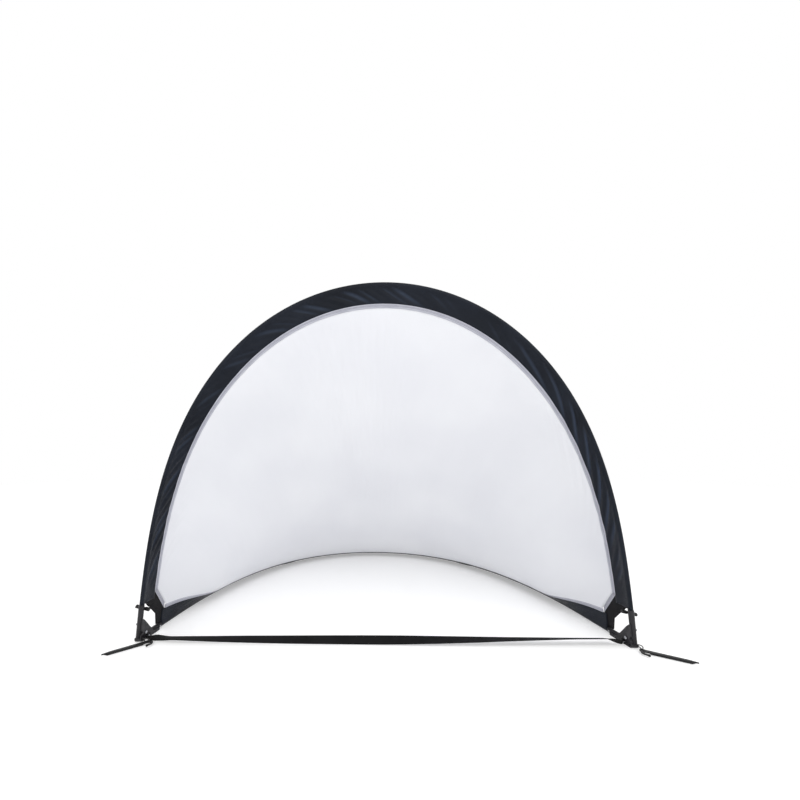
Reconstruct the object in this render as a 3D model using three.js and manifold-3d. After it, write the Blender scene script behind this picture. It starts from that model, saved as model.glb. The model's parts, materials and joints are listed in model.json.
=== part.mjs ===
// Pop up goal: a springy front arch hinged to a springy rear hoop that lies on the ground, with a net between.
// Millimetres, +Z up, the mouth faces -Y, and the origin is on the ground under the middle of the goal.

import * as THREE from 'three';
import { mergeVertices } from 'three/addons/utils/BufferGeometryUtils.js';
import Module from 'manifold-3d';

const wasm = await Module();
wasm.setup();

// ---- Driving dimensions ----
const goalDepth = 1080;          // front of the sockets to the back of the rear sleeve
const goalHeight = 1084;         // ground to the top of the front sleeve
const footSpan = 1480;           // between the pole axes at hinge height
const clearance = 0.3;           // between touching pieces
const endGap = 1.8;              // socket mouth to the slanting end of a sleeve

const poleRadius = 3.5;
const ferruleRadius = 5;
const ferruleLength = 70;
const pocketInner = 7;           // the pocket that the pole runs in
const pocketOuter = 8;
const bandWidth = 60;            // outer edge of the pocket to the inner edge of the band
const bandThickness = 1.6;
const tapeWidth = 9;
const clothThickness = 1.2;

const socketRadius = 8;
const socketBore = 4;
const poleOffset = 14;           // pole axis to hinge axis
const socketLength = 88;         // hinge axis to the mouth of a socket
const webThickness = 3.5;
const webGap = 1.3;              // web plate to the folding socket

const cordRadius = 1.3;
const pegLength = 118;

// ---- Places worked out from the driving dimensions ----
const hingeZ = socketRadius + poleOffset;
const hingeY = -goalDepth / 2 + poleOffset + socketRadius;
const archRise = goalHeight - pocketOuter - hingeZ;
const hoopRise = goalDepth / 2 - pocketOuter - hingeY;

// ---- Materials ----
const material = (color, roughness, metalness = 0) => new THREE.MeshStandardMaterial({ color, roughness, metalness });
const looks = {
  fibreglass: material(0x2b2d30, 0.45),
  brass: material(0xb8bcc0, 0.35, 1),
  steel: material(0xb9bdc2, 0.3, 1),
  bracket: material(0x3a393f, 0.5),
  sleeve: material(0x262a33, 0.75),
  gusset: material(0x211f25, 0.8),
  net: material(0xeceef0, 0.85),
  tape: material(0x9a9aa6, 0.8),
  strap: material(0x232323, 0.8),
  elastic: material(0x1c1c1e, 0.7),
  peg: material(0x1d1e20, 0.45),
};

// ---- Closed meshes ----
function solid(vertices, triangles) {
  const geometry = new THREE.BufferGeometry();
  geometry.setAttribute('position', new THREE.Float32BufferAttribute(vertices.flatMap((v) => v.toArray()), 3));
  const volume = triangles.reduce((sum, [a, b, c]) => {
    return sum + vertices[a].dot(new THREE.Vector3().crossVectors(vertices[b], vertices[c]));
  }, 0);
  geometry.setIndex(triangles.flatMap(([a, b, c]) => (volume > 0 ? [a, b, c] : [a, c, b])));
  return geometry;
}

function welded(geometry) {
  const plain = geometry.clone();
  plain.deleteAttribute('normal');
  plain.deleteAttribute('uv');
  return mergeVertices(plain, 1e-4);
}

function toManifold(geometry) {
  const plain = welded(geometry);
  return new wasm.Manifold(new wasm.Mesh({
    numProp: 3,
    vertProperties: new Float32Array(plain.attributes.position.array),
    triVerts: new Uint32Array(plain.index.array),
  }));
}

function fromManifold(body) {
  const mesh = body.getMesh();
  const geometry = new THREE.BufferGeometry();
  geometry.setAttribute('position', new THREE.BufferAttribute(mesh.vertProperties, 3));
  geometry.setIndex(new THREE.BufferAttribute(mesh.triVerts, 1));
  return geometry;
}

const join = (...parts) => fromManifold(parts.map(toManifold).reduce((sum, next) => sum.add(next)));
const cut = (body, ...tools) => {
  return fromManifold(tools.map(toManifold).reduce((rest, tool) => rest.subtract(tool), toManifold(body)));
};

// A section with an optional hole, carried along stations that each hold an origin and two axes a and b.
function loft(stations, outline, hole = []) {
  const ring = [...outline, ...hole];
  const vertices = stations.flatMap(({ origin, a, b }) => {
    return ring.map((p) => origin.clone().addScaledVector(a, p.x).addScaledVector(b, p.y));
  });
  const triangles = [];
  const side = (first, count, flip) => {
    for (let k = 0; k < stations.length - 1; k += 1) {
      for (let i = 0; i < count; i += 1) {
        const next = (i + 1) % count;
        const p = k * ring.length + first + i;
        const q = k * ring.length + first + next;
        const [m, n] = [p + ring.length, q + ring.length];
        // The diagonals run outwards on both faces, so that thin walls stay parallel where the sections turn.
        const outwards = ring[first + next].x > ring[first + i].x;
        const pair = outwards ? [[p, q, n], [p, n, m]] : [[p, q, m], [q, n, m]];
        triangles.push(...(flip ? pair.map((corners) => corners.reverse()) : pair));
      }
    }
  };
  side(0, outline.length, false);
  side(outline.length, hole.length, true);
  const last = (stations.length - 1) * ring.length;
  for (const [i, j, k] of THREE.ShapeUtils.triangulateShape(outline, hole.length ? [hole] : [])) {
    triangles.push([k, j, i], [last + i, last + j, last + k]);
  }
  return solid(vertices, triangles);
}

// A thin sheet over a grid of points, thickened both ways along its own normals.
function sheet(grid, thickness) {
  const rows = grid.length;
  const columns = grid[0].length;
  const at = (i, j) => grid[Math.min(Math.max(i, 0), rows - 1)][Math.min(Math.max(j, 0), columns - 1)];
  const vertices = [];
  for (const half of [thickness / 2, -thickness / 2]) {
    for (let i = 0; i < rows; i += 1) {
      for (let j = 0; j < columns; j += 1) {
        const along = at(i + 1, j).clone().sub(at(i - 1, j));
        const across = at(i, j + 1).clone().sub(at(i, j - 1));
        vertices.push(at(i, j).clone().addScaledVector(along.cross(across).normalize(), half));
      }
    }
  }
  const triangles = [];
  const index = (i, j, layer) => layer * rows * columns + i * columns + j;
  for (let i = 0; i < rows - 1; i += 1) {
    for (let j = 0; j < columns - 1; j += 1) {
      const [a, b, c, d] = [index(i, j, 0), index(i + 1, j, 0), index(i + 1, j + 1, 0), index(i, j + 1, 0)];
      const under = rows * columns;
      triangles.push([a, b, c], [a, c, d], [c + under, b + under, a + under], [d + under, c + under, a + under]);
    }
  }
  const edge = [];
  for (let i = 0; i < rows - 1; i += 1) edge.push([i, 0]);
  for (let j = 0; j < columns - 1; j += 1) edge.push([rows - 1, j]);
  for (let i = rows - 1; i > 0; i -= 1) edge.push([i, columns - 1]);
  for (let j = columns - 1; j > 0; j -= 1) edge.push([0, j]);
  edge.forEach(([i, j], n) => {
    const [k, l] = edge[(n + 1) % edge.length];
    const [p, q] = [index(i, j, 0), index(k, l, 0)];
    const [r, s] = [index(k, l, 1), index(i, j, 1)];
    triangles.push([p, r, q], [p, s, r]);
  });
  return solid(vertices, triangles);
}

const circle = (radius, sides, turn = 0) => Array.from({ length: sides }, (_, i) => {
  const angle = turn + (i / sides) * 2 * Math.PI;
  return new THREE.Vector2(radius * Math.cos(angle), radius * Math.sin(angle));
});

function tubeAlong(curve, radius, sides, steps) {
  const shape = new THREE.Shape(circle(radius, sides));
  return new THREE.ExtrudeGeometry(shape, { steps, extrudePath: curve, curveSegments: sides });
}

function rod(from, to, radius, sides = 12) {
  const direction = to.clone().sub(from);
  const geometry = new THREE.CylinderGeometry(radius, radius, direction.length(), sides);
  const turn = new THREE.Quaternion().setFromUnitVectors(new THREE.Vector3(0, 1, 0), direction.normalize());
  geometry.applyQuaternion(turn);
  const middle = from.clone().add(to).multiplyScalar(0.5);
  return geometry.translate(middle.x, middle.y, middle.z);
}

// ---- The bent poles ----
// A springy pole held at two feet bends so that its curvature grows with its height above the line of the feet.
class BentPole extends THREE.Curve {
  constructor(span, rise, raise) {
    super();
    this.raise = raise;            // turns (x, height) into a point in space
    const half = (stiffness, visit = () => {}) => {
      const step = 0.5;
      let [x, h, angle, length] = [0, rise, 0, 0];
      while (h > 0) {
        visit(x, h, angle, length);
        const middle = angle + stiffness * h * step / 2;
        x += Math.cos(middle) * step;
        h -= Math.sin(middle) * step;
        angle += stiffness * (h + Math.sin(middle) * step / 2) * step;
        length += step;
      }
      return x;
    };
    let [low, high] = [0, 4 / (rise * rise)];
    for (let i = 0; i < 50; i += 1) {
      const stiffness = (low + high) / 2;
      if (half(stiffness) > span / 2) low = stiffness;
      else high = stiffness;
    }
    this.samples = [];
    half(low, (x, h, angle, length) => this.samples.push({ x, h, angle, length }));
    this.halfLength = this.samples.at(-1).length;
  }

  // The pole at a distance along it from its middle, positive to the right.
  at(distance) {
    const side = Math.sign(distance) || 1;
    const { x, h, angle } = this.samples[Math.round(Math.min(Math.abs(distance), this.halfLength) / 0.5)];
    return { x: side * x, h, angle: side * angle };
  }

  getPoint(t, target = new THREE.Vector3()) {
    const { x, h } = this.at((2 * t - 1) * this.halfLength);
    return target.copy(this.raise(x, h));
  }

  getPointAt(t, target) {
    return this.getPoint(t, target);
  }

  tangent(distance) {
    const { angle } = this.at(distance);
    const start = this.raise(0, 0);
    return this.raise(Math.cos(angle), -Math.sin(angle)).sub(start);
  }

  point(distance) {
    const { x, h } = this.at(distance);
    return this.raise(x, h);
  }
}

const frontPole = new BentPole(footSpan, archRise, (x, h) => new THREE.Vector3(x, hingeY - poleOffset, hingeZ + h));
const rearPole = new BentPole(footSpan, hoopRise, (x, h) => new THREE.Vector3(x, hingeY + h, hingeZ - poleOffset));
const footLean = Math.tan(Math.PI / 2 - frontPole.at(frontPole.halfLength).angle);
const rearLean = Math.tan(Math.PI / 2 - rearPole.at(rearPole.halfLength).angle);

// Distance from the middle of a pole to the place where it stands at a given height over its feet.
const distanceAt = (pole, height) => pole.samples.find((sample) => sample.h <= height).length;

// ---- Stations along the poles, shared by the poles, ferrules and sleeves so that they stay concentric ----
const stationStep = 45;
const jointPlace = 12 * stationStep;     // pole joints, either side of the middle
function stations(from, to) {
  const marks = [jointPlace - ferruleLength / 2, jointPlace + ferruleLength / 2];
  const inside = [...marks, ...marks.map((mark) => -mark)];
  for (let step = -34; step <= 34; step += 1) inside.push(step * stationStep);
  return [from, ...inside.filter((d) => d > from + 5 && d < to - 5), to].sort((p, q) => p - q);
}

// The band leaves its pole square to it, in the surface of the net. At the front it slopes down at 45 degrees in the
// side view at the feet, and more steeply towards the middle. At the rear it stands up at the feet, with the gusset,
// and leans over to lie low behind them, where the net comes down slack.
const sagAngle = THREE.MathUtils.degToRad(20);
const rearSlope = { foot: Math.PI / 2 - Math.atan(footLean), side: THREE.MathUtils.degToRad(34),
  middle: THREE.MathUtils.degToRad(15), leanStart: 60, leanEnd: 340 };
const bandAxes = (pole, distance) => {
  const origin = pole.point(distance);
  const tangent = pole.tangent(distance);
  const a = new THREE.Vector3();
  if (pole === frontPole) {
    const slope = Math.PI / 4 + sagAngle * (1 - (2 * origin.x / footSpan) ** 2);
    a.set(0, Math.cos(slope), -Math.sin(slope));
    a.addScaledVector(tangent, -a.dot(tangent)).normalize();
  } else {
    const height = pole.at(distance).h;
    const lying = THREE.MathUtils.lerp(rearSlope.side, rearSlope.middle, height / hoopRise);
    const lean = THREE.MathUtils.smoothstep(height, rearSlope.leanStart, rearSlope.leanEnd);
    const slope = THREE.MathUtils.lerp(rearSlope.foot, lying, lean);
    const up = new THREE.Vector3(0, 0, 1);
    a.crossVectors(tangent, up).multiplyScalar(Math.cos(slope)).addScaledVector(up, Math.sin(slope));
  }
  return { origin, a, b: new THREE.Vector3().crossVectors(tangent, a) };
};

function poleSection(pole, from, to) {
  return loft(stations(from, to).map((d) => bandAxes(pole, d)), circle(poleRadius, 8));
}

function ferrule(pole, middle) {
  const places = [middle - ferruleLength / 2, middle, middle + ferruleLength / 2];
  return loft(places.map((d) => bandAxes(pole, d)), circle(ferruleRadius, 12), circle(poleRadius + 0.5, 12));
}

function sleeve(pole, end) {
  const half = bandThickness / 2;
  const root = Math.sqrt(pocketOuter ** 2 - half ** 2);
  const inner = bandWidth - pocketOuter;
  const pocket = Array.from({ length: 9 }, (_, i) => (i + 1) * Math.PI / 5)
    .map((angle) => new THREE.Vector2(pocketOuter * Math.cos(angle), pocketOuter * Math.sin(angle)));
  const band = [[root, -half], [inner, -half], [inner, half], [root, half]].map(([x, y]) => new THREE.Vector2(x, y));
  return loft(stations(-end, end).map((d) => bandAxes(pole, d)), [...band, ...pocket], circle(pocketInner, 10));
}

// A strip or a row of points at a set distance in from a pole, in the surface of the band.
const inward = (pole, distance, reach) => {
  const { origin, a } = bandAxes(pole, distance);
  return origin.addScaledVector(a, reach);
};

function tape(pole, end) {
  const reach = bandWidth - pocketOuter + clearance;
  const row = (distance) => [inward(pole, distance, reach), inward(pole, distance, reach + tapeWidth)];
  return sheet(stations(-end, end).map(row), bandThickness);
}

// The net leaves each binding in line with its band, and hangs between them in one easy curve. Its ends are drawn
// straight, along the corner bindings.
const netHandle = 0.3;           // how far it keeps a band's line, as a share of the way across
function net(frontEnd, rearEnd) {
  const [along, down] = [44, 10];
  const reach = bandWidth - pocketOuter + tapeWidth + 3 * clearance;
  const grid = [];
  for (let i = 0; i <= along; i += 1) {
    const share = 2 * i / along - 1;
    const top = inward(frontPole, share * frontEnd, reach);
    const bottom = inward(rearPole, share * rearEnd, reach);
    const loose = 1 - 0.9 * THREE.MathUtils.smoothstep(Math.abs(share), 0.88, 1);
    const handle = loose * netHandle * top.distanceTo(bottom);
    const fromTop = top.clone().addScaledVector(bandAxes(frontPole, share * frontEnd).a, handle);
    const fromBottom = bottom.clone().addScaledVector(bandAxes(rearPole, share * rearEnd).a, handle);
    grid.push(new THREE.CubicBezierCurve3(top, fromTop, fromBottom, bottom).getPoints(down));
  }
  return sheet(grid, clothThickness);
}

// ---- Corner pieces ----
// They are drawn in a corner frame: x outboard from the pole axis, y behind and z above the hinge axis.
// The uprights and the ground sockets lean inwards as the poles do, so x shifts with y and z above the hinge.
function place(geometry, side) {
  const placed = welded(geometry);
  const position = placed.attributes.position;
  for (let i = 0; i < position.count; i += 1) {
    const [x, y, z] = [position.getX(i), position.getY(i), position.getZ(i)];
    const lean = footLean * Math.max(z, 0) + rearLean * Math.max(y, 0);
    position.setXYZ(i, side * (footSpan / 2 + x - lean), hingeY + y, hingeZ + z);
  }
  if (side < 0) placed.index.array.reverse();
  return placed;
}

const at = (x, y, z) => new THREE.Vector3(x, y, z);

// A plate between two values of x, from an outline in y and z.
function plate(outline, from, to) {
  const shape = new THREE.Shape(outline.map(([y, z]) => new THREE.Vector2(y, z)));
  const geometry = new THREE.ExtrudeGeometry(shape, { depth: to - from, bevelEnabled: false, curveSegments: 6 });
  geometry.applyMatrix4(new THREE.Matrix4().makeBasis(at(0, 1, 0), at(0, 0, 1), at(1, 0, 0)));
  return geometry.translate(from, 0, 0);
}

const webFace = -socketRadius - webGap;              // outboard face of the web plate
const webBack = webFace - webThickness;
const low = -poleOffset - socketRadius;              // lowest line of the bracket, on the ground
const rearSocketStart = 13;
const toeTop = -9.8;                                 // top of the block under the folding socket
const rearSocketEnd = 80;
const frontPoleDepth = 8;                            // foot of the front pole, above the hinge axis
const rearPoleDepth = 20;                            // foot of the rear pole, behind the hinge axis
const rivetRadius = 2.2;
const tieHole = { y: -14.5, z: -14.5, radius: 3.4 };
const strapHole = { y: 5, z: -14.5, radius: 2 };
const screwRadius = 1.4;
const frontScrewHeight = 30;
const rearScrewPlace = 70;
const gussetWindow = { leg: [13, 76], top: [24, 66.5], back: [54, 34], foot: [61, -4.5] };
const chamfer = { top: [38.4, 115], back: [93, 38.4] };

function rearBracket() {
  const corner = Array.from({ length: 6 }, (_, i) => Math.PI + (i / 5) * Math.PI / 2)
    .map((angle) => [-poleOffset + socketRadius * Math.cos(angle), -poleOffset + socketRadius * Math.sin(angle)]);
  const web = plate([...corner, [56, low], [56, -14], [36, -12], [19, 8], [4, 26], [-5, 36.5], [-14, 45], [-17, 47],
    [-21, 47], [-21, 13], [-14, 6], [low, -2]], webBack, webFace);
  const toe = plate([...corner, [rearSocketStart + 1, low], [rearSocketStart + 1, toeTop], [low, toeTop]],
    webFace - 1, socketRadius);
  const tube = rod(at(0, rearSocketStart, -poleOffset), at(0, rearSocketEnd, -poleOffset), socketRadius, 16);
  const foot = plate([[16, low], [62, low], [62, -poleOffset], [16, -poleOffset]], webBack + 0.5, 6);
  const bore = rod(at(0, rearPoleDepth - 2, -poleOffset), at(0, rearSocketEnd + 1, -poleOffset), socketBore + 0.2, 12);
  const hole = ({ y, z, radius }) => rod(at(webBack - 1, y, z), at(socketRadius + 1, y, z), radius, 14);
  const screwLine = [at(-20, rearScrewPlace, -poleOffset), at(0, rearScrewPlace, -poleOffset)];
  const screwHole = rod(...screwLine, screwRadius + 0.4, 10);
  const pinHole = hole({ y: 0, z: 0, radius: rivetRadius + 0.5 });
  return cut(join(web, toe, tube, foot), bore, hole(tieHole), hole(strapHole), pinHole, screwHole);
}

const lugFace = -3.5;

function frontSocket() {
  const tube = rod(at(0, -poleOffset, toeTop + 0.5), at(0, -poleOffset, socketLength), socketRadius, 16);
  const lug = join(rod(at(-socketRadius, 0, 0), at(lugFace, 0, 0), 9, 20),
    plate([[-poleOffset, -4], [0, -4], [0, 9], [-poleOffset, 16]], -socketRadius, lugFace));
  const bore = rod(at(0, -poleOffset, frontPoleDepth - 2), at(0, -poleOffset, socketLength + 1), socketBore + 0.2, 12);
  const pinHole = rod(at(-20, 0, 0), at(0, 0, 0), rivetRadius + 0.5, 14);
  const screwLine = [at(0, -poleOffset, frontScrewHeight), at(20, -poleOffset, frontScrewHeight)];
  const screwHole = rod(...screwLine, screwRadius + 0.4, 10);
  return cut(join(tube, lug), bore, pinHole, screwHole);
}

function hingeRivet() {
  const [head, play] = [1.4, 0.9];
  const [inner, outer] = [webBack - play, lugFace + play];
  return join(rod(at(inner - head, 0, 0), at(outer + head, 0, 0), rivetRadius, 14),
    rod(at(inner - head, 0, 0), at(inner, 0, 0), 4.5, 16),
    rod(at(outer, 0, 0), at(outer + head, 0, 0), 4.5, 16));
}

// A screw whose point stops just short of the pole.
function screw(tip, outward, head) {
  const seat = tip.clone().addScaledVector(outward, head);
  return join(rod(tip, seat.clone().addScaledVector(outward, 1), screwRadius, 8),
    rod(seat, seat.clone().addScaledVector(outward, 1.8), 3, 12));
}
const frontScrew = () => screw(at(poleRadius + 0.5, -poleOffset, frontScrewHeight), at(1, 0, 0), 4.4);
const rearScrew = () => screw(at(-poleRadius - 0.5, rearScrewPlace, -poleOffset), at(-1, 0, 0), 4.4);

// A barrel toggle behind the socket, which holds the sleeve down: it slopes down to the right on both corners.
function toggle(side) {
  const radius = 5.5;
  const [lower, upper] = [69, 79];
  const [innerZ, outerZ] = side > 0 ? [upper, lower] : [lower, upper];
  const from = at(-17, 0, innerZ);
  const to = at(17 + footLean * outerZ, 0, outerZ);
  const bar = rod(from, to, radius * 0.75, 14);
  const cap = (end, inner) => rod(end, end.clone().lerp(inner, 0.3), radius, 14);
  return join(bar, cap(from, to), cap(to, from));
}

function gusset() {
  const edge = rearSocketEnd - 0.4;
  const { leg, top, back, foot } = gussetWindow;
  const outline = [leg, top, back, foot, [edge, foot[1]], [edge, chamfer.back[1]], chamfer.back, chamfer.top,
    [chamfer.top[0], socketLength], [8, socketLength], [8, 82]];
  return plate(outline, -clothThickness / 2, clothThickness / 2);
}

function cornerTape() {
  const [top, back] = [new THREE.Vector2(...chamfer.top), new THREE.Vector2(...chamfer.back)];
  const line = back.clone().sub(top).normalize();
  const out = new THREE.Vector2(-line.y, line.x);
  const inner = top.clone().addScaledVector(out, clearance);
  const outer = inner.clone().addScaledVector(out, tapeWidth);
  // Where a line along the chamfer through a point reaches a height or a depth.
  const toHeight = (p, z) => [p.x + (z - p.y) * line.x / line.y, z];
  const toDepth = (p, y) => [y, p.y + (y - p.x) * line.y / line.x];
  const outline = [toHeight(inner, top.y), toHeight(outer, top.y), toDepth(outer, back.x), toDepth(inner, back.x)];
  return plate(outline, -bandThickness / 2, bandThickness / 2);
}

// ---- Front strap: webbing on edge along the ground, with a riveted tab at each bracket ----
const strapThickness = 1.6;
const strapHeight = 25;
const strapEndHeight = 14;
const strapGap = 3.8;            // the web leans inwards over the tab
const strapFront = hingeY - 13;
const strapTab = hingeY - 3;     // where the tab starts, running back to the rivet
function strap() {
  const half = footSpan / 2 + webBack - strapGap;
  const ramp = 50;
  // The webbing's middle line seen from above, from the right tab to the left one.
  const line = [[half, strapTab + 16], [half, strapTab], [half - ramp, strapFront], [ramp - half, strapFront],
    [-half, strapTab], [-half, strapTab + 16]].map(([x, y]) => new THREE.Vector2(x, y));
  const directions = line.slice(1).map((p, i) => p.clone().sub(line[i]).normalize());
  const offset = (distance) => line.map((p, i) => {
    const before = directions[Math.max(i - 1, 0)];
    const after = directions[Math.min(i, directions.length - 1)];
    const along = before.clone().add(after).normalize();
    const reach = distance / along.dot(after);
    return new THREE.Vector2(p.x - along.y * reach, p.y + along.x * reach);
  });
  const outline = [...offset(strapThickness / 2), ...offset(-strapThickness / 2).reverse()];
  const geometry = new THREE.ExtrudeGeometry(new THREE.Shape(outline), { depth: strapHeight, bevelEnabled: false });
  const side = new THREE.Shape([[-half - 5, strapEndHeight], [ramp - half, strapHeight], [half - ramp, strapHeight],
    [half + 5, strapEndHeight], [half + 5, 2 * strapHeight], [-half - 5, 2 * strapHeight]]
    .map(([x, z]) => new THREE.Vector2(x, z)));
  const above = new THREE.ExtrudeGeometry(side, { depth: 80, bevelEnabled: false });
  above.rotateX(Math.PI / 2).translate(0, strapFront + 60, 0);
  const hole = (end) => rod(at(end * (half - 5), hingeY + strapHole.y, hingeZ + strapHole.z),
    at(end * (half + 5), hingeY + strapHole.y, hingeZ + strapHole.z), strapHole.radius, 10);
  return cut(geometry, above, hole(1), hole(-1));
}

function strapRivet() {
  const { y, z } = strapHole;
  const seat = webBack - strapGap - clearance - strapThickness;
  const shank = rod(at(seat - 1, y, z), at(webFace - 0.5, y, z), 1.6, 10);
  return join(shank, rod(at(seat - 1.4, y, z), at(seat, y, z), 4, 14));
}

// ---- Ground pegs and their cords ----
const pegTop = 8.4;
const pegPlate = 3.8;
const eyeRadius = 8;
const eyeHole = 4.4;

// The peg along +X from the middle of its eye, with its underside rib on the ground and its hook on one side.
function peg(side) {
  const outline = new THREE.Shape();
  outline.moveTo(4, -6);
  outline.lineTo(30, -5);
  outline.lineTo(pegLength - 20, -4);
  outline.lineTo(pegLength, 0);
  outline.lineTo(pegLength - 20, 4);
  outline.lineTo(30, 5);
  outline.lineTo(4, 6);
  outline.absarc(0, 0, eyeRadius, 0.9, 2 * Math.PI - 0.9, false);
  const hook = new THREE.Shape([[-5, -4], [-6, -14], [0, -22], [9, -25], [10, -21], [3, -18], [-1, -12], [1, -5]]
    .map(([x, y]) => new THREE.Vector2(x, side * y)));
  const flat = (shape) => {
    const geometry = new THREE.ExtrudeGeometry(shape, { depth: pegPlate, bevelEnabled: false, curveSegments: 12 });
    return geometry.translate(0, 0, pegTop - pegPlate);
  };
  const rib = new THREE.Shape([[18, 0.2], [pegLength - 14, 0.2], [pegLength - 4, pegTop - pegPlate + 1],
    [12, pegTop - pegPlate + 1]].map(([x, z]) => new THREE.Vector2(x, z)));
  const ribBody = new THREE.ExtrudeGeometry(rib, { depth: 3, bevelEnabled: false });
  ribBody.rotateX(Math.PI / 2).translate(0, 1.5, 0);
  const ball = new THREE.SphereGeometry(3.6, 10, 8).translate(11.5, -24 * side, pegTop - pegPlate / 2);
  const eye = rod(at(0, 0, 0), at(0, 0, 20), eyeHole, 16);
  return cut(join(flat(outline), flat(hook), ribBody, ball), eye);
}

// Each cord leaves the tie hole, passes down through the peg's eye and comes back to the hole.
const pegs = {
  right: {
    side: 1,
    eye: [743, -43],
    heading: -31,
    route: [[747.6, -14.5, 9.4], [750.3, -16.5, 9.9], [752, -23, 11.2], [750.5, -32, 12.4], [746, -39.5, 11.6],
      [743, -43, 6.9], [746, -39.5, 2.6], [750.5, -32, 2.5], [752, -23, 3.6], [750.3, -16.5, 5.2], [747.6, -14.5, 5.8]],
  },
  left: {
    side: -1,
    eye: [-699, -24.5],
    heading: -138.5,
    route: [[-727.2, -14.5, 9.4], [-724, -15.7, 9.9], [-718, -18.6, 11.2], [-710.5, -21.6, 12.4], [-703, -23.8, 11.6],
      [-699, -24.5, 6.9], [-703, -23.8, 2.6], [-710.5, -21.6, 2.5], [-718, -18.6, 3.6], [-724, -15.7, 5.2],
      [-727.2, -14.5, 5.8]],
  },
};

function pegCord({ route }) {
  const curve = new THREE.CatmullRomCurve3(route.map(([x, y, z]) => at(x, hingeY + y, z)), false, 'centripetal');
  return tubeAlong(curve, cordRadius, 8, 22);
}

// ---- The object ----
const goal = new THREE.Group();
function add(name, geometry, look, parent = goal) {
  const mesh = new THREE.Mesh(geometry, looks[look]);
  mesh.name = name;
  parent.add(mesh);
  return mesh;
}

for (const [name, pole] of [['front', frontPole], ['rear', rearPole]]) {
  const end = distanceAt(pole, name === 'front' ? frontPoleDepth : rearPoleDepth);
  const mouth = (name === 'front' ? socketLength : rearSocketEnd) + endGap;
  add(`${name}_pole_left`, poleSection(pole, -end, -jointPlace - clearance), 'fibreglass');
  add(`${name}_pole_middle`, poleSection(pole, -jointPlace + clearance, jointPlace - clearance), 'fibreglass');
  add(`${name}_pole_right`, poleSection(pole, jointPlace + clearance, end), 'fibreglass');
  add(`${name}_ferrule_left`, ferrule(pole, -jointPlace), 'brass');
  add(`${name}_ferrule_right`, ferrule(pole, jointPlace), 'brass');
  add(`${name}_sleeve`, sleeve(pole, distanceAt(pole, mouth)), 'sleeve');
}
add('front_binding', tape(frontPole, distanceAt(frontPole, chamfer.top[1] + 1)), 'tape');
add('rear_binding', tape(rearPole, distanceAt(rearPole, chamfer.back[0] + 1)), 'tape');
add('net', net(distanceAt(frontPole, chamfer.top[1] + 5), distanceAt(rearPole, chamfer.back[0] + 7)), 'net');

for (const [name, side] of [['left', -1], ['right', 1]]) {
  add(`${name}_rear_bracket`, place(rearBracket(), side), 'bracket');
  add(`${name}_front_socket`, place(frontSocket(), side), 'bracket');
  add(`${name}_hinge_rivet`, place(hingeRivet(), side), 'steel');
  add(`${name}_front_screw`, place(frontScrew(), side), 'steel');
  add(`${name}_rear_screw`, place(rearScrew(), side), 'steel');
  add(`${name}_toggle`, place(toggle(side), side), 'bracket');
  add(`${name}_gusset`, place(gusset(), side), 'gusset');
  add(`${name}_corner_binding`, place(cornerTape(), side), 'tape');
  add(`${name}_strap_rivet`, place(strapRivet(), side), 'steel');
}
add('front_strap', strap(), 'strap');

for (const [name, layout] of Object.entries(pegs)) {
  add(`${name}_peg_cord`, pegCord(layout), 'elastic');
  const mesh = add(`${name}_ground_peg`, peg(layout.side), 'peg');
  mesh.position.set(layout.eye[0], hingeY + layout.eye[1], 0);
  mesh.rotation.z = THREE.MathUtils.degToRad(layout.heading);
}

export default goal;
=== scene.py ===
"""The looks of a pop up goal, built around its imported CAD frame. Metres, +Z up, the mouth faces -Y."""

import json
import math

import bpy
import numpy as np
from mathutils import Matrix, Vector
from mathutils.geometry import delaunay_2d_cdt, tessellate_polygon


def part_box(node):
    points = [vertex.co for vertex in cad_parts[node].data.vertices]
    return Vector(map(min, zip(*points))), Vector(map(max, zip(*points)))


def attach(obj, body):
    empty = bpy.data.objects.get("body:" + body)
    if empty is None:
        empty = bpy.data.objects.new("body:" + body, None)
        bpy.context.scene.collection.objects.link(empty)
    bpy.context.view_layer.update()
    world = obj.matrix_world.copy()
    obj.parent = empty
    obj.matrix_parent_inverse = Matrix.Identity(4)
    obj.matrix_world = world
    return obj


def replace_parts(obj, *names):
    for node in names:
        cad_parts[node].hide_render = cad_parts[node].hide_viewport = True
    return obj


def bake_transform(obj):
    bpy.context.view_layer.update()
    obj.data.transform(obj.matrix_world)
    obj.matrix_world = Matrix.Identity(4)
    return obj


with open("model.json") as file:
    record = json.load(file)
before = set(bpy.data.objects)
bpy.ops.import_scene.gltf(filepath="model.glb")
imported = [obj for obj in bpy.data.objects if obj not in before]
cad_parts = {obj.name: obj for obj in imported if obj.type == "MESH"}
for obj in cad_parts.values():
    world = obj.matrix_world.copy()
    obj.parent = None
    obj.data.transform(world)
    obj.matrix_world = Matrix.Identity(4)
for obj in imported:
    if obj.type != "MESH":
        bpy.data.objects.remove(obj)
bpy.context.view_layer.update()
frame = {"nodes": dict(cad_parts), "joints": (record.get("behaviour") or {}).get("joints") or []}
HINGE = Vector(next(j for j in frame["joints"] if j["name"] == "arch_fold")["pos_m"])

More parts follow.
